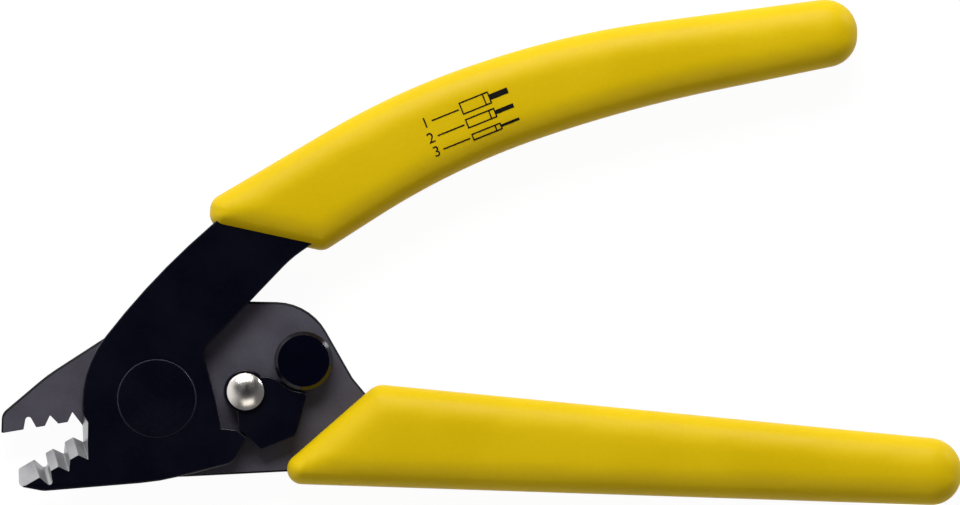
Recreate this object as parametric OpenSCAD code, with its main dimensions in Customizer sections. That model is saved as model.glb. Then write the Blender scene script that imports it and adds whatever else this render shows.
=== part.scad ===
// Three-hole fibre stripper. Two stamped levers cross on a flush hub: the front lever is the lower
// jaw and the upper handle, the rear lever is the upper jaw and the lower handle. The tool is drawn
// open, lying on its back, with the hub's front face at the origin, the jaws towards -X and +Z up.

/* [Levers] */
// Thickness of each stamped lever
plate_t = 3.2; // [2.8:0.1:3.8]
// Running gap between the two levers
slide_gap = 0.05; // [0.02:0.01:0.1]
// Radius of the rear lever's boss round the pivot
boss_r = 13; // [12.4:0.1:13.2]

/* [Jaws] */
// Angle that the levers turn through from open to closed
close_angle = 20.4; // [18:0.2:21]
// Slope of the rear jaw's cutting line below the horizontal
line_angle = 9.6; // [8:0.1:11]
// Distance from the pivot to the jaws' tips along the cutting line
jaw_reach = 27.4; // [26:0.1:29]
// Distance from the pivot to the jacket hole
jacket_at = 22.5; // [22.2:0.1:23]
// Diameter of the jacket hole
jacket_hole = 1.1; // [0.8:0.05:1.3]
// Distance from the pivot to the buffer hole
buffer_at = 18.7; // [18.4:0.1:19]
// Diameter of the buffer hole
buffer_hole = 0.26; // [0.2:0.01:0.4]
// Distance from the pivot to the coating hole
coating_at = 14.8; // [14.6:0.1:15]
// Diameter of the coating hole
coating_hole = 0.14; // [0.12:0.01:0.18]
// Angle between the flanks of the buffer and coating notches
vee_angle = 70; // [60:1:76]
// Angle between the flanks of the jacket notch
slot_angle = 40; // [30:1:50]
// Height of the teeth past the cutting line
tooth_h = 1.45; // [1.1:0.05:1.6]
// Rounding of the teeth's corners
tooth_round = 0.2; // [0.1:0.05:0.3]
// Angle of the ground bevels from the lever's thickness
bevel_angle = 45; // [35:1:50]
// Lean of the ground bevels towards the jaws' tips
bevel_lean = 12; // [0:1:16]

/* [Pivot] */
// Diameter of the hub's flange and of the cap
flange_d = 13.8; // [13:0.1:15]
// Thickness of the hub's flange and of the cap
flange_t = 1.2; // [0.8:0.1:1.4]
// Diameter of the hub's barrel
barrel_d = 10.5; // [10:0.1:11]
// Diameter of the spring pocket in the hub
pocket_d = 8.7; // [8.5:0.1:9]
// Height of the cap's spigot in the pocket
spigot_h = 0.5; // [0.3:0.1:0.6]
// Chamfer on the flange, the cap and the stop stud's shank
edge_chamfer = 0.25; // [0.1:0.05:0.3]
// Radial running gap of the joints
run_gap = 0.05; // [0.02:0.01:0.08]
// Gap between pieces that are pressed or riveted together
press_gap = 0.02; // [0.01:0.01:0.04]

/* [Return spring] */
// Diameter of the spring wire
wire_d = 0.7; // [0.5:0.05:0.8]
// Whole turns of the coil
spring_turns = 3; // [2:1:3]
// Length of each leg past the hub's barrel
leg_l = 1.8; // [1.2:0.1:2.2]

/* [Stop stud] */
// Diameter of the stud that the closing lever lands on
stud_d = 10.1; // [9:0.1:10.6]
// Place of the stud along X
stud_x = 25.3; // [24.9:0.1:25.8]
// Place of the stud along Y
stud_y = 6.5; // [6.2:0.1:6.9]
// Height of the stud above the front lever's face
stud_rise = 0.5; // [0.2:0.1:1]
// Chamfer round the stud's face
stud_chamfer = 0.6; // [0.3:0.1:0.9]
// Diameter of the stud's shank
stud_shank_d = 6; // [4.5:0.1:7]
// Gap that is left between the stud and what lands on it
land_gap = 0.1; // [0.05:0.01:0.2]

/* [Latch] */
// Thickness of the latch
latch_t = 2.4; // [2:0.1:2.6]
// Place of the latch rivet along X
rivet_x = 15.3; // [15.1:0.1:15.6]
// Place of the latch rivet along Y
rivet_y = 1.2; // [0.9:0.1:1.4]
// Radius of the latch round its rivet
lobe_r = 3.8; // [3.6:0.1:4.2]
// Diameter of the rivet's domed head
rivet_head_d = 6.4; // [5.6:0.1:7]
// Height of the rivet's domed head
rivet_head_h = 1.7; // [1.2:0.1:2.2]
// Diameter of the rivet's shank
rivet_shank_d = 3.6; // [3:0.1:4]
// Thickness of the washer under the latch
washer_t = 0.4; // [0.2:0.05:0.5]
// Gap between the latch and the stop stud at rest
latch_gap = 0.3; // [0.2:0.05:0.5]

/* [Grips] */
// Thickness of both grips
grip_t = 10.4; // [9:0.1:12]
// Wall of the grips round the levers' edges
grip_wall = 2; // [1.6:0.1:2.2]
// Height of the rounding along the grips' edges
edge_h = 4; // [3:0.1:4.3]
// Width of the rounding along the grips' edges
edge_w = 2.4; // [1.6:0.1:2.5]
// Distance from the pivot to the upper grip's end along X
upper_reach = 121; // [112:1:130]
// Distance from the pivot to the lower grip's end along X
lower_reach = 138.8; // [125:1:150]
// Gap between a grip and its lever
grip_fit = 0.05; // [0.02:0.01:0.1]

/* [Hidden] */

BLACK = [0.05, 0.05, 0.07];
GUNMETAL = [0.27, 0.26, 0.29];
NICKEL = [0.82, 0.8, 0.76];
YELLOW = [0.93, 0.78, 0.02];
SPRING_STEEL = [0.5, 0.5, 0.52];

EPS = 0.01;
FAR = 40;
ARC_STEP = 10;
CORNER_STEPS = 8;
ROUND_FN = 96;

// Levels, from the front lever's face down
plane_z = -plate_t;
rear_z = plane_z - slide_gap;
back_z = rear_z - plate_t;
mid_z = (plane_z + rear_z) / 2;
floor_z = mid_z - grip_t / 2;

// Both cutting lines as directions from the pivot, with the jaws open
rear_line = 180 + line_angle;
front_line = rear_line + close_angle;

// The front lever's edge is a radial line that meets the stop stud when the jaws are closed
stud_dist = norm([stud_x, stud_y]);
land_angle = atan2(stud_y, stud_x) + asin((stud_d / 2 + land_gap) / stud_dist) + close_angle;

// Where the spring's legs leave the hub, one lever each
pocket_r = pocket_d / 2;
barrel_r = barrel_d / 2;
leg_w = wire_d + 0.6;
bend_r = wire_d;
coil_r = pocket_r - 0.25 - wire_d / 2;
coil_pitch = wire_d + 0.05;
coil_top = -flange_t - run_gap - 0.15 - wire_d / 2;
coil_end = coil_top - coil_pitch * spring_turns;
leg_reach = barrel_r + leg_l;
front_leg_angle = 100;
rear_leg_angle = front_leg_angle + 35;
front_leg_z = coil_top;
rear_leg_z = coil_end - coil_pitch * (rear_leg_angle - front_leg_angle) / 360;

latch_z = rear_z + washer_t + 2 * run_gap;
latch_top = latch_z + latch_t;
tail_h = 0.8;
tail_flare = 0.9;

// ---- Outlines ---------------------------------------------------------------------------------
// An outline is a list of corners [x, y, radius], anticlockwise.

function at(angle, dist) = [dist * cos(angle), dist * sin(angle)];
function unit(v) = v / norm(v);
function flat(p) = [p[0], p[1]];
function left_of(v) = [-v[1], v[0]];
function turn(p, a) = [p[0] * cos(a) - p[1] * sin(a), p[0] * sin(a) + p[1] * cos(a)];
function prev(c, i) = flat(c[(i + len(c) - 1) % len(c)]);
function next(c, i) = flat(c[(i + 1) % len(c)]);
function bend(a, b) = atan2(a[0] * b[1] - a[1] * b[0], a * b);

// Corners moved inwards by d, with their arcs kept concentric
function inset(c, d) = [
    for (i = [0:len(c) - 1])
        let (p = flat(c[i]), a = unit(p - prev(c, i)), b = unit(next(c, i) - p),
             n = left_of(a), m = left_of(b), q = p + d * (n + m) / (1 + n * m),
             r = bend(a, b) > 0 ? c[i][2] - d : c[i][2] + d)
        [q[0], q[1], max(r, 0.05)]
];

// Points of an outline: each corner becomes an arc that touches both of its edges, in a given
// number of steps or in as many as its bend needs
function arc_steps(r, t) = r == 0 ? 0 : max(2, ceil(abs(t) / ARC_STEP) + (r > 40 ? 3 : 1));
function rounded(c, even_steps = 0) = [
    for (i = [0:len(c) - 1])
        let (p = flat(c[i]), r = c[i][2], a = unit(p - prev(c, i)), b = unit(next(c, i) - p),
             t = bend(a, b), start = p - r * tan(abs(t) / 2) * a,
             hub = start + sign(t) * r * left_of(a),
             steps = even_steps > 0 ? even_steps : arc_steps(r, t))
        for (k = [0:steps])
            steps == 0 ? p : hub + turn(start - hub, t * k / steps)
];

// ---- Grip and lever outlines ------------------------------------------------------------------

// Edges of the grips as lines: height at a given x
function upper_top(x) = 64.8 + 0.131 * (x - 84.4);
function upper_bottom(x) = 54.2 + 0.203 * (x - 101.9);
function lower_top(x) = 2.45 - 0.097 * (x - 37.8);
function lower_bottom(x) = -14.8 - 0.033 * (x - 25);

front_grip_outline = [
    [28.8, 25.4, 2.7], [51.1, 39.7, 130], [80.9, 50, 240],
    [upper_reach - 0.4, upper_bottom(upper_reach), 5.4], [upper_reach, upper_top(upper_reach), 5.6],
    [71.6, 63.1, 160], [41.8, 53.4, 135], [9.3, 34.2, 2.6], [8.9, 29.7, 2.7]
];

rear_grip_outline = [
    [22.7, lower_bottom(22.7), 2.7], [lower_reach - 0.2, lower_bottom(lower_reach), 5.2],
    [lower_reach, lower_top(lower_reach), 5.6], [37.8, lower_top(37.8), 3.4], [22.3, -11.1, 2.6]
];

// The part of each lever that shows, with its root inside the grip
front_body_outline = let (corner = at(land_angle, 11.5), shoulder = at(land_angle, 33.6)) [
    [-23.75, -15.15, 1.1], [-19.5, -15.95, 4], [0.5, -14.3, 40], [13.1, -11.1, 2.5],
    [15.5, -6.75, 0.5], [13.8, -5.35, 0.8], [11, -5.05, 0.4], [10.2, -0.9, 20],
    [corner[0], corner[1], 1.7], [shoulder[0], shoulder[1], 20], [34, 31.5, 1],
    [14.3, 34.1, 0.5], [-0.6, 21.3, 130], [-12.87, 5.5, 19], [-12.87, -4, 0], [-24, -10, 0]
];

rear_body_outline = [
    [-4.6, -13.8, 8], [5, -13.5, 20], [31, -12.2, 1], [39.5, -3.5, 2], [33.7, 3.5, 5],
    [26.3, 16.5, 10], [8, 16.9, 12], [-6.8, 11.9, 8], [-19, 4, 30], [-26.8, -2.6, 2.2],
    [-26.95, -7.5, 0.9], [-13.4, -4, 0], [-9.2 * boss_r / 13, -9.2 * boss_r / 13, 4]
];

// ---- Jaws -------------------------------------------------------------------------------------
// The jaw frame has X outwards along the cutting line and Y towards the other jaw. The notch's
// round bottom is centred on the line, so the two jaws close to a round hole of that diameter.

function notch_depth(hole, vee) = hole / 2 / sin(vee / 2);
function notch_half(hole, vee) = (tooth_h + notch_depth(hole, vee)) * tan(vee / 2);
function notch(x, hole, vee) = [
    [x - notch_half(hole, vee), tooth_h, tooth_round],
    [x, -notch_depth(hole, vee), hole / 2],
    [x + notch_half(hole, vee), tooth_h, tooth_round]
];

heel = [13.47, 2.4];
heel_top = [11.65, 5.45];

// What is ground away in front of the cutting edge, from the heel out past the tip
ground_outline = concat(
    [[heel[0], heel[1], 0.3]],
    [for (i = [1, 2]) notch(coating_at, coating_hole, vee_angle)[i]],
    notch(buffer_at, buffer_hole, vee_angle),
    notch(jacket_at, jacket_hole, slot_angle),
    [[FAR, tooth_h, 0], [FAR, FAR / 2, 0], [heel_top[0] - 0.3, FAR / 2, 0],
     [heel_top[0], heel_top[1], 0.5]]
);

module ground_away() {
    lean = [for (p = rounded(ground_outline)) turn(p, -bevel_lean)];
    rotate([0, 0, bevel_lean]) rotate([bevel_angle, 0, 0])
        linear_extrude(FAR, center = true)
            polygon([for (p = lean) [p[0], p[1] * cos(bevel_angle)]]);
}

// ---- Levers -----------------------------------------------------------------------------------

module lever(body, grip) {
    linear_extrude(plate_t) polygon(rounded(body));
    linear_extrude(plate_t) polygon(rounded(inset(grip, grip_wall)));
}

// A slot in a lever's bore for one leg of the spring
module leg_slot(angle) {
    rotate([0, 0, angle]) translate([0, -leg_w / 2, 0])
        cube([leg_reach + 0.3, leg_w, plate_t]);
}

module front_plate() {
    color(BLACK) difference() {
        translate([0, 0, plane_z]) lever(front_body_outline, front_grip_outline);
        translate([0, 0, plane_z]) rotate([0, 0, front_line]) mirror([0, 1, 0]) ground_away();
        translate([0, 0, plane_z - EPS])
            cylinder(r = barrel_r + run_gap, h = plate_t + 2 * EPS, $fn = ROUND_FN);
        translate([0, 0, -flange_t - run_gap])
            cylinder(r = flange_d / 2 + run_gap, h = plate_t, $fn = ROUND_FN);
        translate([0, 0, -flange_t - run_gap - plate_t]) leg_slot(front_leg_angle);
    }
}

module rear_plate() {
    color(GUNMETAL) difference() {
        translate([0, 0, back_z]) lever(rear_body_outline, rear_grip_outline);
        translate([0, 0, rear_z]) rotate([0, 0, rear_line]) mirror([0, 0, 1]) ground_away();
        translate([0, 0, back_z - EPS])
            cylinder(r = barrel_r + press_gap, h = plate_t + 2 * EPS, $fn = ROUND_FN);
        translate([0, 0, back_z - plate_t])
            cylinder(r = flange_d / 2 + press_gap, h = plate_t + flange_t + press_gap, $fn = ROUND_FN);
        translate([0, 0, back_z + flange_t + press_gap]) leg_slot(rear_leg_angle);
        tail_hole(stud_x, stud_y, stud_shank_d);
        tail_hole(rivet_x, rivet_y, rivet_shank_d);
    }
}

// The bore and countersink that a riveted shank fills
module tail_hole(x, y, d) {
    translate([x, y, back_z]) rotate_extrude($fn = ROUND_FN) polygon([
        [0, -1], [d / 2 + tail_flare + press_gap, -1], [d / 2 + tail_flare + press_gap, 0],
        [d / 2 + press_gap, tail_h], [d / 2 + press_gap, plate_t + 1], [0, plate_t + 1]
    ]);
}

// Half section of a riveted shank, from its flush tail up to the rear lever's face
function shank_section(d) = [
    [0, back_z], [d / 2 + tail_flare, back_z], [d / 2, back_z + tail_h], [d / 2, rear_z]
];

// ---- Pivot ------------------------------------------------------------------------------------

module pivot_hub() {
    rim = flange_d / 2;
    end_z = back_z + flange_t;
    window_a = atan(leg_w / 2 / pocket_r) + 2;
    color(BLACK) difference() {
        rotate_extrude($fn = ROUND_FN) polygon([
            [0, 0], [0, -flange_t], [pocket_r, -flange_t], [pocket_r, end_z], [barrel_r, end_z],
            [barrel_r, -flange_t], [rim, -flange_t], [rim, -edge_chamfer], [rim - edge_chamfer, 0]
        ]);
        leg_window(front_leg_angle - close_angle - window_a, front_leg_angle + window_a,
                   plane_z, -flange_t - run_gap);
        leg_window(rear_leg_angle - window_a, rear_leg_angle + window_a,
                   end_z - 1, rear_z);
    }
}

// A window in the barrel, wide enough for a leg to swing from angle a to angle b
module leg_window(a, b, low, high) {
    translate([0, 0, low]) linear_extrude(high - low)
        polygon([[0, 0], at(a, FAR / 4), at((a + b) / 2, FAR / 4), at(b, FAR / 4)]);
}

module pivot_cap() {
    rim = flange_d / 2;
    top_z = back_z + flange_t;
    spigot_r = pocket_r - press_gap;
    color(BLACK) rotate_extrude($fn = ROUND_FN) polygon([
        [0, back_z], [rim - edge_chamfer, back_z], [rim, back_z + edge_chamfer], [rim, top_z],
        [spigot_r, top_z], [spigot_r, top_z + spigot_h], [0, top_z + spigot_h]
    ]);
}

// ---- Return spring ----------------------------------------------------------------------------

// Quarter bend from the coil out to a leg, then the leg; way is the side that the coil comes from
function leg_path(angle, z, way) = concat(
    [for (a = [0:30:90])
        let (p = turn([coil_r + bend_r * (1 - cos(a)), way * bend_r * sin(a)], angle))
        [p[0], p[1], z]],
    [let (p = turn([leg_reach, way * bend_r], angle)) [p[0], p[1], z]]
);

function reversed(list) = [for (i = [len(list) - 1:-1:0]) list[i]];

// The bend swings a leg sideways by its own radius, so the coil stops short by that angle
bend_back = asin(bend_r / leg_reach);
coil_start_a = front_leg_angle + bend_back;
coil_end_a = rear_leg_angle - bend_back + 360 * spring_turns;
spring_path = concat(
    reversed(leg_path(coil_start_a, front_leg_z, -1)),
    [for (a = [coil_start_a + 15:15:coil_end_a - 10])
        let (p = at(a, coil_r), f = (a - coil_start_a) / (coil_end_a - coil_start_a))
        [p[0], p[1], front_leg_z + f * (rear_leg_z - front_leg_z)]],
    leg_path(coil_end_a, rear_leg_z, 1)
);

// A round wire swept along a nearly level path
module wire(path, d, sides) {
    n = len(path);
    rings = [
        for (i = [0:n - 1])
            let (t = unit(path[min(i + 1, n - 1)] - path[max(i - 1, 0)]),
                 side = unit(cross(t, [0, 0, 1])), up = cross(side, t))
            for (k = [0:sides - 1])
                path[i] + d / 2 * (cos(360 * k / sides) * side + sin(360 * k / sides) * up)
    ];
    walls = [
        for (i = [0:n - 2], k = [0:sides - 1])
            let (a = i * sides + k, b = i * sides + (k + 1) % sides)
            [a, a + sides, b + sides, b]
    ];
    ends = [[for (k = [0:sides - 1]) k], [for (k = [sides - 1:-1:0]) (n - 1) * sides + k]];
    polyhedron(rings, concat(walls, ends), convexity = 6);
}

module return_spring() {
    color(SPRING_STEEL) wire(spring_path, wire_d, 8);
}

// ---- Stop stud and latch ----------------------------------------------------------------------

module stop_stud() {
    r = stud_d / 2;
    color(BLACK) translate([stud_x, stud_y, 0]) rotate_extrude($fn = ROUND_FN) polygon(concat(
        shank_section(stud_shank_d),
        [[r, rear_z], [r, stud_rise - stud_chamfer], [r - stud_chamfer, stud_rise], [0, stud_rise]]
    ));
}

latch_outline = [
    [17.9, -8.95, 0.6], [23.8, -6.6, 0.9], [24.4, -5, 1.5], [25.95, 0.7, 0.7],
    [18.6, 4.3, 4], [13.5, 2, 2], [14, -5, 0.5]
];

module latch() {
    color(BLACK) difference() {
        union() {
            translate([0, 0, latch_z]) linear_extrude(latch_t) polygon(rounded(latch_outline));
            translate([rivet_x, rivet_y, latch_z]) cylinder(r = lobe_r, h = latch_t, $fn = ROUND_FN);
        }
        translate([stud_x, stud_y, latch_z - 1])
            cylinder(r = stud_d / 2 + latch_gap, h = latch_t + 2, $fn = ROUND_FN);
        translate([rivet_x, rivet_y, latch_z - 1])
            cylinder(r = rivet_shank_d / 2 + run_gap, h = latch_t + 2, $fn = ROUND_FN);
    }
}

module latch_washer() {
    color(NICKEL) translate([rivet_x, rivet_y, rear_z + run_gap]) difference() {
        cylinder(r = lobe_r - 0.4, h = washer_t, $fn = ROUND_FN);
        translate([0, 0, -1])
            cylinder(r = rivet_shank_d / 2 + press_gap, h = washer_t + 2, $fn = ROUND_FN);
    }
}

module latch_rivet() {
    r = rivet_head_d / 2;
    seat = latch_top + run_gap;
    dome_r = (r * r + rivet_head_h * rivet_head_h) / (2 * rivet_head_h);
    dome_a = asin(r / dome_r);
    color(NICKEL) translate([rivet_x, rivet_y, 0]) rotate_extrude($fn = ROUND_FN) polygon(concat(
        shank_section(rivet_shank_d),
        [[rivet_shank_d / 2, seat]],
        [for (a = [0:8]) let (t = dome_a * (1 - a / 8))
            [dome_r * sin(t), seat + rivet_head_h - dome_r * (1 - cos(t))]]
    ));
}

// ---- Grips ------------------------------------------------------------------------------------

// A slab with its edge rounded over: rings of one outline, drawn in by more towards both faces.
// The outline's last corner is its nose, and its other corners pair up across the grip.
module cushion(outline, t) {
    angles = [0, 22, 42, 60, 76, 90];
    half = [for (a = angles) [edge_w * (1 - cos(a)), t / 2 - edge_h * (1 - sin(a))]];
    levels = concat(reversed([for (h = half) [h[0], -h[1]]]), half);
    nose = CORNER_STEPS + 1;
    count = nose * len(outline);
    points = [
        for (lv = levels, p = rounded(inset(outline, lv[0]), CORNER_STEPS)) [p[0], p[1], lv[1]]
    ];
    walls = [
        for (i = [0:len(levels) - 2], k = [0:count - 1])
            let (a = i * count + k, b = i * count + (k + 1) % count)
            [a, a + count, b + count, b]
    ];
    far = count - 1 - nose;
    face = concat(
        [for (k = [far:count - 2]) [k, k + 1, 0]],
        [for (k = [0:(far - 3) / 2]) [k, k + 1, far - k - 1, far - k]]
    );
    last = (len(levels) - 1) * count;
    top = [for (f = face) [for (k = reversed(f)) last + k]];
    polyhedron(points, concat(walls, face, top), convexity = 6);
}

module grip(outline, body, lever_z) {
    color(YELLOW) difference() {
        translate([0, 0, mid_z]) cushion(outline, grip_t);
        translate([0, 0, lever_z - grip_fit]) linear_extrude(plate_t + 2 * grip_fit)
            polygon(rounded(inset(outline, grip_wall - grip_fit)));
        translate([0, 0, lever_z - grip_fit]) linear_extrude(plate_t + 2 * grip_fit)
            polygon(rounded(inset(body, -grip_fit)));
    }
}

module front_grip() {
    grip(front_grip_outline, front_body_outline, plane_z);
}

module rear_grip() {
    grip(rear_grip_outline, rear_body_outline, back_z);
}

rear_plate();
front_plate();
rear_grip();
front_grip();
pivot_hub();
pivot_cap();
return_spring();
stop_stud();
latch_washer();
latch();
latch_rivet();
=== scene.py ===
"""Three-hole fibre stripper: finished surfaces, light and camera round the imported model."""

import math

import bmesh
import bpy
import numpy as np
from mathutils import Matrix, Vector
from mathutils.geometry import delaunay_2d_cdt


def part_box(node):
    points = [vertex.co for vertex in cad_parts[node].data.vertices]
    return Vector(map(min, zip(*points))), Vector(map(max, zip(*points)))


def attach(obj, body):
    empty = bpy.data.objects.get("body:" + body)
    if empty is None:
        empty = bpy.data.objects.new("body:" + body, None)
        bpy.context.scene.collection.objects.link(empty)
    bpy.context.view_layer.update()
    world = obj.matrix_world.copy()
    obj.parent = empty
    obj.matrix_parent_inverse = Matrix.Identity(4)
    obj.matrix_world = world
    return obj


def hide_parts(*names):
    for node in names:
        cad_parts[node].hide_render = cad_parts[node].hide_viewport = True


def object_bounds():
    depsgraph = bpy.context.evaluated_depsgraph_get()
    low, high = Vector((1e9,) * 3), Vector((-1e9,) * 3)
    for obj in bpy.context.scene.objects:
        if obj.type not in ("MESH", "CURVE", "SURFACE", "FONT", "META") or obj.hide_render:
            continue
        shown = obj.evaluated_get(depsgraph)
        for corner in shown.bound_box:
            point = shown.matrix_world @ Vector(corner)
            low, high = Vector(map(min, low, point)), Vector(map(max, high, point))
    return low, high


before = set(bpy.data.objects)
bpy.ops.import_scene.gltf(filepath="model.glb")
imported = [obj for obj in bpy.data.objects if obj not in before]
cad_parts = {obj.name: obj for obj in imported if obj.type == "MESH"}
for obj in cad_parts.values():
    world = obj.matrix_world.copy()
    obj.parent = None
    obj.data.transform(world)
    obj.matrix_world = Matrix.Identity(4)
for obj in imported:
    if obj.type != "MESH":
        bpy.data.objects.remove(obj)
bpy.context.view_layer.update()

# Lengths are in millimetres until a mesh is made
MM = 0.001
HUB_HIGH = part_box("pivot_hub")[1] / MM
STUD_LOW, STUD_HIGH = (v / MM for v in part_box("stop_stud"))
RIVET_LOW, RIVET_HIGH = (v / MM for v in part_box("latch_rivet"))
FRONT_LOW, FRONT_HIGH = (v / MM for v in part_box("front_plate"))
REAR_LOW, REAR_HIGH = (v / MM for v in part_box("rear_plate"))
GRIP_LOW, GRIP_HIGH = (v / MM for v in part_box("rear_grip"))

# ---- Node trees -------------------------------------------------------------------------------


def put(tree, kind, inputs=None, **settings):
    """A node with its settings, each input given as a constant or as the socket that feeds it."""
    made = tree.nodes.new(kind)
    for key, value in settings.items():
        setattr(made, key, value)
    for key, value in (inputs or {}).items():
        if isinstance(value, bpy.types.NodeSocket):
            tree.links.new(value, made.inputs[key])
        else:
            made.inputs[key].default_value = value
    return made


def sums(tree, operation, *values, clamp=False):
    """The result of one sum on numbers or sockets."""
    return put(tree, "ShaderNodeMath", dict(enumerate(values)), operation=operation,
               use_clamp=clamp).outputs[0]


def blend_colour(tree, amount, low, high):
    """A colour between two others."""
    return put(tree, "ShaderNodeMix", {0: amount, 6: low, 7: high}, data_type="RGBA").outputs[2]


def spread(tree, value, low, high, to_low=0.0, to_high=1.0):
    """A value mapped smoothly from one range to another."""
    return put(tree, "ShaderNodeMapRange", {0: value, 1: low, 2: high, 3: to_low, 4: to_high},
               interpolation_type="SMOOTHSTEP").outputs[0]


def effect(name, sockets_in, sockets_out):
    """An empty shader group with its inputs and outputs."""
    tree = bpy.data.node_groups.new(name, "ShaderNodeTree")
    for label, kind, value in sockets_in:
        tree.interface.new_socket(label, in_out="INPUT", socket_type=kind).default_value = value
    for label, kind in sockets_out:
        tree.interface.new_socket(label, in_out="OUTPUT", socket_type=kind)
    return tree, tree.nodes.new("NodeGroupInput").outputs, tree.nodes.new("NodeGroupOutput").inputs


FLOAT, COLOUR, VECTOR = "NodeSocketFloat", "NodeSocketColor", "NodeSocketVector"


def tone_effect():
    """Cloudy colour and polish: two tones in soft patches, with a finer speckle over them."""
    tree, given, result = effect("uneven_tone", [
        ("Place", VECTOR, (0, 0, 0)), ("Light tone", COLOUR, (1, 1, 1, 1)),
        ("Dark tone", COLOUR, (0, 0, 0, 1)), ("Patches", FLOAT, 60.0), ("Speckle", FLOAT, 900.0),
        ("Smooth", FLOAT, 0.3), ("Rough", FLOAT, 0.5),
    ], [("Colour", COLOUR), ("Roughness", FLOAT)])
    cloud = put(tree, "ShaderNodeTexNoise", {
        "Vector": given["Place"], "Scale": given["Patches"], "Detail": 3.0, "Roughness": 0.55})
    dust = put(tree, "ShaderNodeTexNoise", {
        "Vector": given["Place"], "Scale": given["Speckle"], "Detail": 2.0, "Roughness": 0.6})
    patches = spread(tree, cloud.outputs["Fac"], 0.32, 0.68)
    speckle = spread(tree, dust.outputs["Fac"], 0.3, 0.7)
    amount = sums(tree, "ADD", sums(tree, "MULTIPLY", patches, 0.72),
                  sums(tree, "MULTIPLY", speckle, 0.28), clamp=True)
    tree.links.new(blend_colour(tree, amount, given["Dark tone"], given["Light tone"]),
                   result["Colour"])
    span = sums(tree, "SUBTRACT", given["Rough"], given["Smooth"])
    tree.links.new(sums(tree, "MULTIPLY_ADD", amount, span, given["Smooth"]), result["Roughness"])
    return tree


def grain_effect():
    """Height of a fine pebbled grain, stretched along one way for drawn or ground metal."""
    tree, given, result = effect("fine_grain", [
        ("Place", VECTOR, (0, 0, 0)), ("Stretch", VECTOR, (1, 1, 1)), ("Turn", VECTOR, (0, 0, 0)),
        ("Grains", FLOAT, 1500.0),
    ], [("Height", FLOAT)])
    turned = put(tree, "ShaderNodeVectorRotate", {
        "Vector": given["Place"], "Rotation": given["Turn"]}, rotation_type="EULER_XYZ")
    laid = put(tree, "ShaderNodeVectorMath", {0: turned.outputs[0], 1: given["Stretch"]},
               operation="MULTIPLY")
    grain = put(tree, "ShaderNodeTexNoise", {
        "Vector": laid.outputs[0], "Scale": given["Grains"], "Detail": 3.0, "Roughness": 0.6})
    tree.links.new(grain.outputs["Fac"], result["Height"])
    return tree


def rim_effect():
    """Mask of what leans away from the flat faces: the broken edges and the side walls."""
    tree, given, result = effect("rim_mask", [("Level", FLOAT, 0.996), ("Steep", FLOAT, 0.95)],
                                 [("Mask", FLOAT)])
    facing = put(tree, "ShaderNodeNewGeometry")
    height = put(tree, "ShaderNodeSeparateXYZ", {0: facing.outputs["Normal"]})
    level = sums(tree, "ABSOLUTE", height.outputs["Z"])
    tree.links.new(spread(tree, level, given["Steep"], given["Level"], 1.0, 0.0), result["Mask"])
    return tree


TONE, GRAIN, RIM = tone_effect(), grain_effect(), rim_effect()


def placed(tree, group, **inputs):
    """A shared effect in a material, with its own values."""
    made = put(tree, "ShaderNodeGroup", node_tree=group)
    for key, value in inputs.items():
        socket = made.inputs[key.replace("_", " ").capitalize()]
        if isinstance(value, bpy.types.NodeSocket):
            tree.links.new(value, socket)
        else:
            socket.default_value = value
    return made.outputs


GRAIN_HEIGHT = 0.05


def finish_of(name, light, dark, smooth, rough, patches, speckle, grains, bump, stretch=(1, 1, 1),
              turn=(0, 0, 0), rim=None, **constants):
    """A surface finish: uneven tone, a fine grain in its normals, and, where a rim colour is given, that
    colour on the faces that lean away from the flat ones (a painted sheen on the hub's finish).
    """
    made = bpy.data.materials.new(name)
    made.use_nodes = True
    tree = made.node_tree
    shader = tree.nodes["Principled BSDF"]
    place = put(tree, "ShaderNodeTexCoord").outputs["Object"]
    tone = placed(tree, TONE, place=place, light_tone=(*light, 1), dark_tone=(*dark, 1),
                  patches=patches, speckle=speckle, smooth=smooth, rough=rough)
    colour = tone["Colour"]
    # Rim colour on the faces that lean away from the flat ones; where it is lighter than the face, as on
    # the hub, it is a painted sheen
    if rim:
        mask = placed(tree, RIM)["Mask"]
        colour = blend_colour(tree, mask, colour, (*rim, 1))
    grain = placed(tree, GRAIN, place=place, stretch=stretch, turn=turn, grains=grains)
    bumped = put(tree, "ShaderNodeBump", {
        "Strength": bump, "Distance": GRAIN_HEIGHT * MM, "Height": grain["Height"]})
    tree.links.new(colour, shader.inputs["Base Color"])
    tree.links.new(tone["Roughness"], shader.inputs["Roughness"])
    tree.links.new(bumped.outputs["Normal"], shader.inputs["Normal"])
    for key, value in constants.items():
        shader.inputs[key.replace("_", " ")].default_value = value
    return made


# ---- Finishes ---------------------------------------------------------------------------------

BLACK_TONES = (0.0009, 0.0009, 0.0058), (0.0005, 0.0005, 0.004)

yellow_vinyl = finish_of(
    "yellow_vinyl", (0.665, 0.462, 0.0012), (0.61, 0.418, 0.0006), smooth=0.4, rough=0.5,
    patches=45.0, speckle=1400.0, grains=2600.0, bump=0.12, Specular_IOR_Level=0.12)
black_oxide = finish_of(
    "black_oxide", *BLACK_TONES, smooth=0.26, rough=0.34, patches=90.0, speckle=1500.0,
    grains=3800.0, bump=0.08, Specular_IOR_Level=0.25)
polished_black = finish_of(
    "polished_black", *BLACK_TONES, smooth=0.14, rough=0.2, patches=90.0, speckle=1500.0,
    grains=3800.0, bump=0.04, Specular_IOR_Level=0.5)
# The hub's finish: black, with its rims a lighter colour, a painted sheen that stands for the light its
# chamfer reflects
black_painted_rim_sheen = finish_of(
    "black_painted_rim_sheen", *BLACK_TONES, smooth=0.2, rough=0.28, patches=90.0, speckle=1500.0,
    grains=3800.0, bump=0.04, rim=(0.035, 0.035, 0.055), Specular_IOR_Level=0.5)
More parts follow.
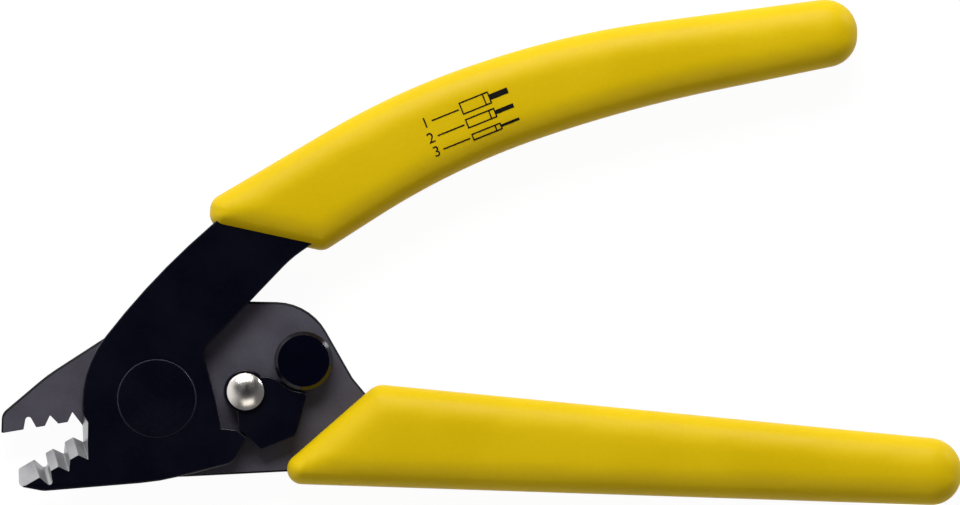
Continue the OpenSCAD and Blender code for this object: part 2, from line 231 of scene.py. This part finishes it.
# The rear plate's broken edges and side walls are coloured near black, darker than its face
grey_phosphate = finish_of(
    "grey_phosphate", (0.074, 0.070, 0.088), (0.058, 0.053, 0.068), smooth=0.42, rough=0.55,
    patches=130.0, speckle=1800.0, grains=3200.0, bump=0.18, rim=(0.003, 0.003, 0.005),
    Specular_IOR_Level=0.15)
ground_steel = finish_of(
    "ground_steel", (0.42, 0.42, 0.43), (0.36, 0.36, 0.37), smooth=0.26, rough=0.34,
    patches=300.0, speckle=3000.0, grains=1800.0, bump=0.1, stretch=(0.08, 1, 1),
    turn=(0, 0, math.radians(-60)), Metallic=1.0)
bright_nickel = finish_of(
    "bright_nickel", (0.84, 0.80, 0.74), (0.76, 0.72, 0.65), smooth=0.2, rough=0.28,
    patches=800.0, speckle=4000.0, grains=2400.0, bump=0.12, Metallic=1.0)
drawn_wire = finish_of(
    "drawn_wire", (0.46, 0.46, 0.48), (0.34, 0.34, 0.36), smooth=0.25, rough=0.4,
    patches=600.0, speckle=3000.0, grains=3000.0, bump=0.2, Metallic=1.0)
print_ink = finish_of(
    "print_ink", (0.007, 0.006, 0.004), (0.003, 0.003, 0.002), smooth=0.5, rough=0.62,
    patches=300.0, speckle=2000.0, grains=3000.0, bump=0.1, Specular_IOR_Level=0.1)

# ---- Outlines ---------------------------------------------------------------------------------
# An outline is a list of corners (x, y, radius), anticlockwise.

UPPER_REACH, LOWER_REACH = 121.0, 138.8
GRIP_T = GRIP_HIGH.z - GRIP_LOW.z
GRIP_MID = (GRIP_HIGH.z + GRIP_LOW.z) / 2
GRIP_WALL = 2.0
GRIP_FIT = 0.05


def upper_top(x):
    return 64.8 + 0.131 * (x - 84.4)


def upper_bottom(x):
    return 54.2 + 0.203 * (x - 101.9)


def lower_top(x):
    return 2.45 - 0.097 * (x - 37.8)


def lower_bottom(x):
    return -14.8 - 0.033 * (x - 25)


FRONT_GRIP = [
    (28.8, 25.4, 2.7), (51.1, 39.7, 130), (80.9, 50, 240),
    (UPPER_REACH - 0.4, upper_bottom(UPPER_REACH), 5.4), (UPPER_REACH, upper_top(UPPER_REACH), 5.6),
    (71.6, 63.1, 160), (41.8, 53.4, 135), (9.3, 34.2, 2.6), (8.9, 29.7, 2.7),
]
REAR_GRIP = [
    (22.7, lower_bottom(22.7), 2.6), (LOWER_REACH - 0.2, lower_bottom(LOWER_REACH), 5.2),
    (LOWER_REACH, lower_top(LOWER_REACH), 5.6), (37.8, lower_top(37.8), 3.4), (22.3, -11.1, 2.5),
]


def unit(v):
    return v / np.hypot(*v)


def left_of(v):
    return np.array([-v[1], v[0]])


def corner_arcs(corners, shrink=0.0):
    """Centre, first point and turn of each corner's arc, with the outline drawn in by shrink."""
    spots = [np.array(c[:2]) for c in corners]
    arcs = []
    for i, (spot, corner) in enumerate(zip(spots, corners)):
        a, b = unit(spot - spots[i - 1]), unit(spots[(i + 1) % len(spots)] - spot)
        n, m = left_of(a), left_of(b)
        turn = math.atan2(a[0] * b[1] - a[1] * b[0], a @ b)
        radius = max(corner[2] - math.copysign(shrink, turn), 0.05)
        start = spot + shrink * (n + m) / (1 + n @ m) - radius * math.tan(abs(turn) / 2) * a
        arcs.append((start + math.copysign(radius, turn) * n, start, turn))
    return arcs


def arc_point(arc, share):
    centre, start, turn = arc
    c, s = math.cos(turn * share), math.sin(turn * share)
    x, y = start - centre
    return centre + np.array([x * c - y * s, x * s + y * c])


MIN_TURNS = 12


def outline_counts(corners, step):
    """How many steps each arc and each straight edge of an outline is cut into."""
    arcs = corner_arcs(corners)
    counts = []
    for i, arc in enumerate(arcs):
        length = np.hypot(*(arc[1] - arc[0])) * abs(arc[2])
        gap = np.hypot(*(arcs[(i + 1) % len(arcs)][1] - arc_point(arc, 1)))
        counts.append((max(MIN_TURNS, math.ceil(length / step)), max(1, math.ceil(gap / step))))
    return counts


def outline_ring(corners, shrink, counts):
    """Points of an outline drawn in by shrink, the same number at every depth."""
    arcs = corner_arcs(corners, shrink)
    points = []
    for i, (arc, (turns, steps)) in enumerate(zip(arcs, counts)):
        points += [arc_point(arc, k / turns) for k in range(turns + 1)]
        end, following = points[-1], arcs[(i + 1) % len(arcs)][1]
        points += [end + (following - end) * k / steps for k in range(1, steps)]
    return np.array(points)


# ---- Meshes -----------------------------------------------------------------------------------


def piece_of(name, points, faces, *materials):
    """A smooth mesh object from points in millimetres."""
    mesh = bpy.data.meshes.new(name)
    mesh.from_pydata([tuple(c * MM for c in p) for p in points], [], faces)
    for material in materials:
        mesh.materials.append(material)
    mesh.validate()
    made = bpy.data.objects.new(name, mesh)
    bpy.context.scene.collection.objects.link(made)
    return made


def soften(piece, degrees=35):
    """Smooth shading with sharp edges kept where faces meet at more than an angle."""
    piece.data.shade_smooth()
    piece.data.set_sharp_from_angle(angle=math.radians(degrees))


def even_out(piece):
    """Gives the large flat faces straight normals, so that the broken edges alone shade round."""
    even = piece.modifiers.new("even", "WEIGHTED_NORMAL")
    even.mode, even.weight, even.keep_sharp = "FACE_AREA", 100, True
    bpy.context.view_layer.update()
    settle(piece)


def settle(piece):
    """Turns a piece's modifiers into plain mesh."""
    solid = bpy.data.meshes.new_from_object(
        piece.evaluated_get(bpy.context.evaluated_depsgraph_get()))
    piece.modifiers.clear()
    spare, piece.data = piece.data, solid
    bpy.data.meshes.remove(spare)


def prism(name, outline, low, high):
    """A straight-sided slab of an outline, used as a cutter."""
    n = len(outline)
    points = [(x, y, low) for x, y in outline] + [(x, y, high) for x, y in outline]
    faces = [[k, (k + 1) % n, n + (k + 1) % n, n + k] for k in range(n)]
    return piece_of(name, points, faces + [list(range(n))[::-1], list(range(n, 2 * n))])


def hollow_out(piece, cutters):
    """Cuts each cutter out of a piece and deletes it."""
    for cutter in cutters:
        cut = piece.modifiers.new("hollow", "BOOLEAN")
        cut.operation, cut.object, cut.solver = "DIFFERENCE", cutter, "EXACT"
    bpy.context.view_layer.update()
    settle(piece)
    for cutter in cutters:
        bpy.data.objects.remove(cutter)


# ---- Grips ------------------------------------------------------------------------------------

SHOULDER_W = 5.0
SHOULDER_H = 4.0
CROWN = 0.25
CROWN_DEPTH = 9.0
RING_ANGLES = range(0, 57, 7)
FACE_STEP = 1.5
ROW_SHARE = 0.866
CLEAR_SHARE = 0.6


def shoulder(depth):
    """Height above the grip's middle plane at a distance in from its outline."""
    share = np.clip(1 - np.asarray(depth) / SHOULDER_W, 0, 1)
    dip = 1 - np.clip(np.asarray(depth) / CROWN_DEPTH, 0, 1)
    return GRIP_T / 2 - SHOULDER_H * (1 - np.sqrt(1 - share ** 2)) - CROWN * dip ** 2


def distance_in(points, outline):
    """Distance from points to an outline, negative outside it."""
    start, end = outline, np.roll(outline, -1, 0)
    along = end - start
    rel = points[:, None] - start
    share = np.clip((rel * along).sum(2) / (along ** 2).sum(1), 0, 1)
    near = np.hypot(*np.moveaxis(rel - share[..., None] * along, 2, 0)).min(1)
    x, y = points[:, :1], points[:, 1:]
    crosses = (start[:, 1] > y) != (end[:, 1] > y)
    with np.errstate(divide="ignore", invalid="ignore"):
        reach = start[:, 0] + (y - start[:, 1]) * along[:, 0] / along[:, 1]
    inside = (crosses & (x < reach)).sum(1) % 2 == 1
    return np.where(inside, near, -near)


def grip_shell(name, corners):
    """A closed moulded form: shoulder rings, and a face that carries on into a slight crown."""
    counts = outline_counts(corners, FACE_STEP)
    outer = outline_ring(corners, 0, counts)
    n = len(outer)
    depths = [SHOULDER_W * (1 - math.cos(math.radians(a))) for a in RING_ANGLES]
    rings = [outline_ring(corners, d, counts) for d in depths]
    heights = shoulder(depths)

    # Inner face: the last ring and a lattice of points inside it
    low, high = outer.min(0), outer.max(0)
    lattice = np.array([
        (x + (row % 2) * FACE_STEP / 2, y)
        for row, y in enumerate(np.arange(low[1], high[1], FACE_STEP * ROW_SHARE))
        for x in np.arange(low[0], high[0], FACE_STEP)])
    depth = distance_in(lattice, outer)
    keep = depth > depths[-1] + FACE_STEP * CLEAR_SHARE
    flat = np.vstack([rings[-1], lattice[keep]])
    face_heights = np.concatenate([np.full(n, heights[-1]), shoulder(depth[keep])])
    verts, _, faces, origins, _, _ = delaunay_2d_cdt(
        [Vector(p) for p in flat], [], [list(range(n))], 1, 1e-6)
    back = [o[0] for o in origins]
    faces = [[back[k] for k in f] for f in faces]

    points, walls = [], []
    sides = [(-1, range(len(rings) - 1, -1, -1)), (1, range(len(rings)))]
    for sign, order in sides:
        for k in order:
            points += [(x, y, GRIP_MID + sign * heights[k]) for x, y in rings[k]]
    for r in range(2 * len(rings) - 1):
        a = r * n
        walls += [[a + k, a + (k + 1) % n, a + n + (k + 1) % n, a + n + k] for k in range(n)]
    inner = [(len(points) + i, p) for i, p in enumerate(flat[n:])]
    count = len(inner)
    for sign in (-1, 1):
        points += [(x, y, GRIP_MID + sign * h)
                   for (x, y), h in zip(flat[n:], face_heights[n:])]
    first_low, first_high = 0, (2 * len(rings) - 1) * n
    for f in faces:
        walls.append([k + first_high if k < n else inner[0][0] + count + k - n for k in f])
        walls.append([k + first_low if k < n else inner[0][0] + k - n for k in reversed(f)])
    return piece_of(name, points, walls, yellow_vinyl)


ROOT_TURNS = 8


def cavity(corners):
    """The lever's root inside a grip."""
    return outline_ring(corners, GRIP_WALL - GRIP_FIT, [(ROOT_TURNS, 1)] * len(corners))


LEVERS = {
    "front": ("front_lever", FRONT_GRIP, FRONT_LOW.z, FRONT_HIGH.z),
    "rear": ("rear_lever", REAR_GRIP, REAR_LOW.z, REAR_HIGH.z),
}
GRIPS = {}
for side, (body, corners, low, high) in LEVERS.items():
    grip = grip_shell(f"{side}_grip_moulding", corners)
    root = prism("root", cavity(corners), low - GRIP_FIT, high + GRIP_FIT)
    hollow_out(grip, [root])
    soften(grip, 40)
    GRIPS[side] = grip
    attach(grip, body)
    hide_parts(f"{side}_grip")

# ---- Stamped levers and latch -----------------------------------------------------------------

HUB_MARGIN = 0.6
STUD_AXIS = ((STUD_LOW + STUD_HIGH) / 2).xy
STUD_REACH = 4.6
RIVET_AXIS = ((RIVET_LOW + RIVET_HIGH) / 2).xy
RIVET_REACH = 3.6
BORES = [(Vector((0, 0)), HUB_HIGH.x + HUB_MARGIN), (STUD_AXIS, STUD_REACH),
         (RIVET_AXIS, RIVET_REACH)]
EDGE_BREAK = {"front_plate": 0.28, "rear_plate": 0.42, "latch": 0.28}
BREAK_PROFILE = 0.6
WELD_DIST = 0.0005
FLAT_ANGLE = math.radians(0.3)
LEVEL_NORMAL = 0.99
UPRIGHT_NORMAL = 0.02
GROUND_NORMALS = 0.06, 0.985
JAWS_END = -8.2


def merged(node):
    """A merged copy of a CAD node in millimetres, with its flat faces made whole."""
    bm = bmesh.new()
    bm.from_mesh(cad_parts[node].data)
    bmesh.ops.scale(bm, vec=(1 / MM,) * 3, verts=bm.verts)
    bmesh.ops.remove_doubles(bm, verts=bm.verts, dist=WELD_DIST)
    bmesh.ops.dissolve_limit(bm, angle_limit=FLAT_ANGLE, verts=bm.verts, edges=bm.edges)
    return bm


def made_from(bm, name, *materials):
    """A piece from a mesh in millimetres."""
    bmesh.ops.scale(bm, vec=(MM,) * 3, verts=bm.verts)
    mesh = bpy.data.meshes.new(name)
    bm.to_mesh(mesh)
    bm.free()
    for material in materials:
        mesh.materials.append(material)
    made = bpy.data.objects.new(name, mesh)
    bpy.context.scene.collection.objects.link(made)
    return made


def is_outline(edge):
    """True for an edge between a flat face and a side wall, away from the bores."""
    if len(edge.link_faces) != 2:
        return False
    levels = sorted(abs(f.normal.z) for f in edge.link_faces)
    middle = (edge.verts[0].co + edge.verts[1].co) / 2
    clear = all((middle.xy - c).length > r for c, r in BORES)
    return levels[1] > LEVEL_NORMAL and levels[0] < UPRIGHT_NORMAL and clear


def is_ground(face):
    """True for a face of the ground bevels and notches."""
    low, high = GROUND_NORMALS
    return face.calc_center_median().x < JAWS_END and low < abs(face.normal.z) < high


def stamping(node, name, body, finish):
    """A flat CAD node with broken edges, and bare steel where it is ground."""
    bm = merged(node)
    for face in bm.faces:
        face.material_index = int(is_ground(face))
    edges = [e for e in bm.edges if is_outline(e)]
    bmesh.ops.bevel(bm, geom=edges, offset=EDGE_BREAK[node], segments=2, profile=BREAK_PROFILE,
                    affect="EDGES", clamp_overlap=False, material=0)
    made = made_from(bm, name, finish, ground_steel)
    soften(made, 50)
    even_out(made)
    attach(made, body)
    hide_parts(node)
    return made


stamping("front_plate", "front_lever_stamping", "front_lever", black_oxide)
stamping("rear_plate", "rear_lever_stamping", "rear_lever", grey_phosphate)
stamping("latch", "latch_stamping", "latch", black_oxide)

# ---- Turned pieces ----------------------------------------------------------------------------


DOME_SHARE = 0.6
SHANK_REACH = 2.2
SEAT_LAYER = 0.1
TOUCH = 0.001


def is_dome(vert, seat):
    """True for the points of the rivet's head, apart from where its shank leaves it."""
    return (vert.co.xy - RIVET_AXIS).length > SHANK_REACH or vert.co.z > seat + SEAT_LAYER


def copied(node, name, body, finish, seat=None):
    """A merged copy of a turned CAD node with smooth walls, its dome flatter past a given seat."""
    bm = merged(node)
    if seat is not None:
        top = max(v.co.z for v in bm.verts)
        for v in bm.verts:
            if v.co.z > seat - TOUCH and is_dome(v, seat):
                v.co.z = top - (top - v.co.z) * DOME_SHARE
    made = made_from(bm, name, finish)
    soften(made, 25)
    even_out(made)
    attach(made, body)
    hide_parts(node)


# The hub's rims carry a painted sheen
copied("pivot_hub", "hub_turning", "rear_lever", black_painted_rim_sheen)
copied("pivot_cap", "cap_turning", "rear_lever", polished_black)
copied("stop_stud", "stud_turning", "rear_lever", polished_black)
copied("latch_rivet", "rivet_heading", "rear_lever", bright_nickel,
       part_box("latch")[1].z / MM)

for node, finish in (("return_spring", drawn_wire), ("latch_washer", bright_nickel)):
    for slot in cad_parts[node].material_slots:
        slot.material = finish

# ---- Print on the upper grip ------------------------------------------------------------------
# Three rows, each with a number, a leader and a cable whose jacket is stripped back to its core. A row
# gives the middle of its jacket, and the widths of jacket and core.

ROW_TILT = math.radians(22)
ROWS = [("1", (54.9, 50.9), 2.0, 1.0), ("2", (55.9, 48.3), 1.5, 0.75), ("3", (56.9, 46.0), 1.0, 0.44)]
JACKET_L = 5.2
BAND_AT = 0.32
CORE_L = 3.4
LEADER_L = 5.0
LEADER_GAP = 0.5
DIGIT_GAP = 1.2
LINE_W = 0.24
DIGIT_SIZE = 2.6
INK_T = 0.04
INK_LIFT = 0.01
INK_WELD = 0.002
RAY_RISE, RAY_LENGTH = 50.0, 100.0


def in_row(centre, along, across=0.0):
    """The matrix of a place along a row, from the middle of its jacket."""
    return (Matrix.Translation((*centre, 0)) @ Matrix.Rotation(ROW_TILT, 4, "Z")
            @ Matrix.Translation((along, across, 0)))


def bar(bm, place, length, width):
    """A flat bar, in cells small enough to follow the grip."""
    bmesh.ops.create_grid(bm, x_segments=8, y_segments=2, size=0.5,
                          matrix=place @ Matrix.Diagonal((length, width, 1, 1)))


def digit(bm, place, text):
    """A flat number, made a mesh before it is placed."""
    curve = bpy.data.curves.new("digit", "FONT")
    curve.body, curve.size = text, DIGIT_SIZE
    curve.align_x, curve.align_y = "CENTER", "CENTER"
    letter = bpy.data.objects.new("digit", curve)
    bpy.context.scene.collection.objects.link(letter)
    bpy.context.view_layer.update()
    mesh = bpy.data.meshes.new_from_object(
        letter.evaluated_get(bpy.context.evaluated_depsgraph_get()))
    mesh.transform(place)
    bm.from_mesh(mesh)
    bpy.data.objects.remove(letter)
    bpy.data.curves.remove(curve)
    bpy.data.meshes.remove(mesh)


def laid_tree():
    """Lays flat shapes on a surface below them and gives them a thickness."""
    tree = bpy.data.node_groups.new("laid_print", "GeometryNodeTree")
    for label, kind in (("Shapes", "NodeSocketGeometry"), ("Surface", "NodeSocketObject"),
                        ("Thickness", "NodeSocketFloat"), ("Ink", "NodeSocketMaterial")):
        tree.interface.new_socket(label, in_out="INPUT", socket_type=kind)
    tree.interface.new_socket("Print", in_out="OUTPUT", socket_type="NodeSocketGeometry")
    given = tree.nodes.new("NodeGroupInput").outputs
    surface = put(tree, "GeometryNodeObjectInfo", {"Object": given["Surface"]})
    above = put(tree, "ShaderNodeVectorMath", {
        0: put(tree, "GeometryNodeInputPosition").outputs[0], 1: (0, 0, RAY_RISE * MM)}, operation="ADD")
    ray = put(tree, "GeometryNodeRaycast", {
        "Target Geometry": surface.outputs["Geometry"], "Source Position": above.outputs[0],
        "Ray Direction": (0, 0, -1), "Ray Length": RAY_LENGTH * MM})
    laid = put(tree, "GeometryNodeSetPosition", {
        "Geometry": given["Shapes"], "Position": ray.outputs["Hit Position"],
        "Offset": (0, 0, INK_LIFT * MM)})
    raised = put(tree, "GeometryNodeExtrudeMesh", {
        "Mesh": laid.outputs[0], "Offset Scale": given["Thickness"], "Individual": False})
    under = put(tree, "GeometryNodeFlipFaces", {"Mesh": laid.outputs[0]})
    joined = put(tree, "GeometryNodeJoinGeometry")
    tree.links.new(raised.outputs["Mesh"], joined.inputs[0])
    tree.links.new(under.outputs[0], joined.inputs[0])
    closed = put(tree, "GeometryNodeMergeByDistance", {
        "Geometry": joined.outputs[0], "Distance": INK_WELD * MM})
    real = put(tree, "GeometryNodeRealizeInstances", {"Geometry": closed.outputs[0]})
    inked = put(tree, "GeometryNodeSetMaterial", {"Geometry": real.outputs[0], "Material": given["Ink"]})
    put(tree, "NodeGroupOutput", {"Print": inked.outputs[0]})
    return tree


def printed_rows(name, surface):
    """The rows as thin closed shapes on the grip."""
    bm = bmesh.new()
    for text, centre, jacket_w, core_w in ROWS:
        for end in (-0.5, BAND_AT, 0.5):
            bar(bm, in_row(centre, end * JACKET_L), LINE_W, jacket_w)
        for side in (-0.5, 0.5):
            bar(bm, in_row(centre, 0, side * jacket_w), JACKET_L + LINE_W, LINE_W)
        bar(bm, in_row(centre, (JACKET_L + CORE_L) / 2), CORE_L, core_w)
        leader = -(JACKET_L + LEADER_L) / 2 - LEADER_GAP
        bar(bm, in_row(centre, leader), LEADER_L, LINE_W)
        digit(bm, in_row(centre, leader - LEADER_L / 2 - DIGIT_GAP), text)
    made = made_from(bm, name, print_ink)
    tree = laid_tree()
    laid = made.modifiers.new("laid", "NODES")
    laid.node_group = tree
    named = {item.name: item.identifier for item in tree.interface.items_tree}
    laid[named["Surface"]], laid[named["Thickness"]] = surface, INK_T * MM
    laid[named["Ink"]] = print_ink
    bpy.context.view_layer.update()
    settle(made)
    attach(made, "front_lever")


printed_rows("front_grip_print", GRIPS["front"])

# ---- Floor, light and camera ------------------------------------------------------------------

LOW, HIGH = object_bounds()
MIDDLE = (LOW + HIGH) / 2
FLOOR_REACH = 3.0

floor = piece_of("floor", [(s * FLOOR_REACH / MM, t * FLOOR_REACH / MM, LOW.z / MM)
                           for s, t in ((-1, -1), (1, -1), (1, 1), (-1, 1))], [[0, 1, 2, 3]])


def seen_directly(tree):
    """One for what the camera sees straight, in gloss or through glass."""
    path = put(tree, "ShaderNodeLightPath").outputs
    return sums(tree, "ADD", sums(tree, "ADD", path["Is Camera Ray"], path["Is Glossy Ray"]),
                path["Is Transmission Ray"], clamp=True)


FLOOR_GLOW, GLOW_SHARE = 1.03, 0.93


def pale_floor():
    """Plain white with a faint shadow where it is seen, and a pale diffuse surface for its light."""
    made = bpy.data.materials.new("pale_floor")
    made.use_nodes = True
    tree = made.node_tree
    shader = tree.nodes["Principled BSDF"]
    shader.inputs["Base Color"].default_value = (0.9, 0.9, 0.9, 1)
    shader.inputs["Roughness"].default_value = 0.9
    white = put(tree, "ShaderNodeEmission", {"Color": (1, 1, 1, 1), "Strength": FLOOR_GLOW})
    amount = sums(tree, "MULTIPLY", seen_directly(tree), GLOW_SHARE)
    mixed = put(tree, "ShaderNodeMixShader", {0: amount, 1: shader.outputs[0], 2: white.outputs[0]})
    tree.links.new(mixed.outputs[0], tree.nodes["Material Output"].inputs["Surface"])
    return made


floor.data.materials.append(pale_floor())

SKY_BRIGHT = (0.95, 0.95, 0.97)
SKY_DIM = (0.14, 0.14, 0.15)
SKY_HIGH = (0.012, 0.012, 0.018)
BRIGHT_SIDE = Vector((math.cos(math.radians(150)), math.sin(math.radians(150)), 0.0))
DARK_SPOT = Vector((0.0, math.sin(math.radians(24)), math.cos(math.radians(24))))


def studio_sky():
    """Bright low on one side, dim on the other and dark overhead; white where the camera sees it."""
    world = bpy.data.worlds.new("studio")
    bpy.context.scene.world = world
    world.use_nodes = True
    tree = world.node_tree
    tree.nodes.clear()
    way = put(tree, "ShaderNodeTexCoord").outputs["Generated"]
    height = put(tree, "ShaderNodeVectorMath", {0: way, 1: DARK_SPOT}, operation="DOT_PRODUCT")
    amount = spread(tree, height.outputs["Value"], 0.55, 0.93)
    side = put(tree, "ShaderNodeVectorMath", {0: way, 1: BRIGHT_SIDE}, operation="DOT_PRODUCT")
    round_about = spread(tree, side.outputs["Value"], -0.1, 0.75)
    low = blend_colour(tree, round_about, (*SKY_DIM, 1), (*SKY_BRIGHT, 1))
    sky = blend_colour(tree, amount, low, (*SKY_HIGH, 1))
    camera = put(tree, "ShaderNodeLightPath").outputs["Is Camera Ray"]
    seen = blend_colour(tree, camera, sky, (1, 1, 1, 1))
    background = put(tree, "ShaderNodeBackground", {"Color": seen, "Strength": 1.0})
    put(tree, "ShaderNodeOutputWorld", {"Surface": background.outputs[0]})


studio_sky()


def lamp(name, azimuth, elevation, distance, width, height, power, tint=(1, 1, 1)):
    """A soft panel that faces the tool. Azimuth is the way to it, anticlockwise from +X."""
    data = bpy.data.lights.new(name, "AREA")
    data.shape, data.size, data.size_y = "RECTANGLE", width, height
    data.energy, data.color = power, tint
    made = bpy.data.objects.new(name, data)
    a, e = math.radians(azimuth), math.radians(elevation)
    way = Vector((math.cos(a) * math.cos(e), math.sin(a) * math.cos(e), math.sin(e)))
    made.location = MIDDLE + way * distance
    made.rotation_euler = way.to_track_quat("Z", "Y").to_euler()
    bpy.context.scene.collection.objects.link(made)


lamp("key_panel", azimuth=98, elevation=38, distance=1.2, width=0.9, height=0.5, power=16.5)
lamp("edge_strip", azimuth=36, elevation=7, distance=1.0, width=0.18, height=0.14, power=2.5)
lamp("left_panel", azimuth=138, elevation=10, distance=1.1, width=0.3, height=0.2, power=0.35)
lamp("front_fill", azimuth=-80, elevation=50, distance=1.2, width=0.8, height=0.5, power=1.6,
     tint=(1.0, 0.96, 0.9))

CAMERA_DISTANCE = 2.6
VIEW_WIDTH = 0.1656
AIM = Vector((0.0557, 0.02517, GRIP_MID * MM))

camera = bpy.data.objects.new("camera", bpy.data.cameras.new("camera"))
camera.data.sensor_width = 36.0
camera.data.lens = camera.data.sensor_width * CAMERA_DISTANCE / VIEW_WIDTH
camera.location = AIM + Vector((0, 0, CAMERA_DISTANCE))
bpy.context.scene.collection.objects.link(camera)
bpy.context.scene.camera = camera
bpy.context.scene.view_settings.view_transform = "Standard"
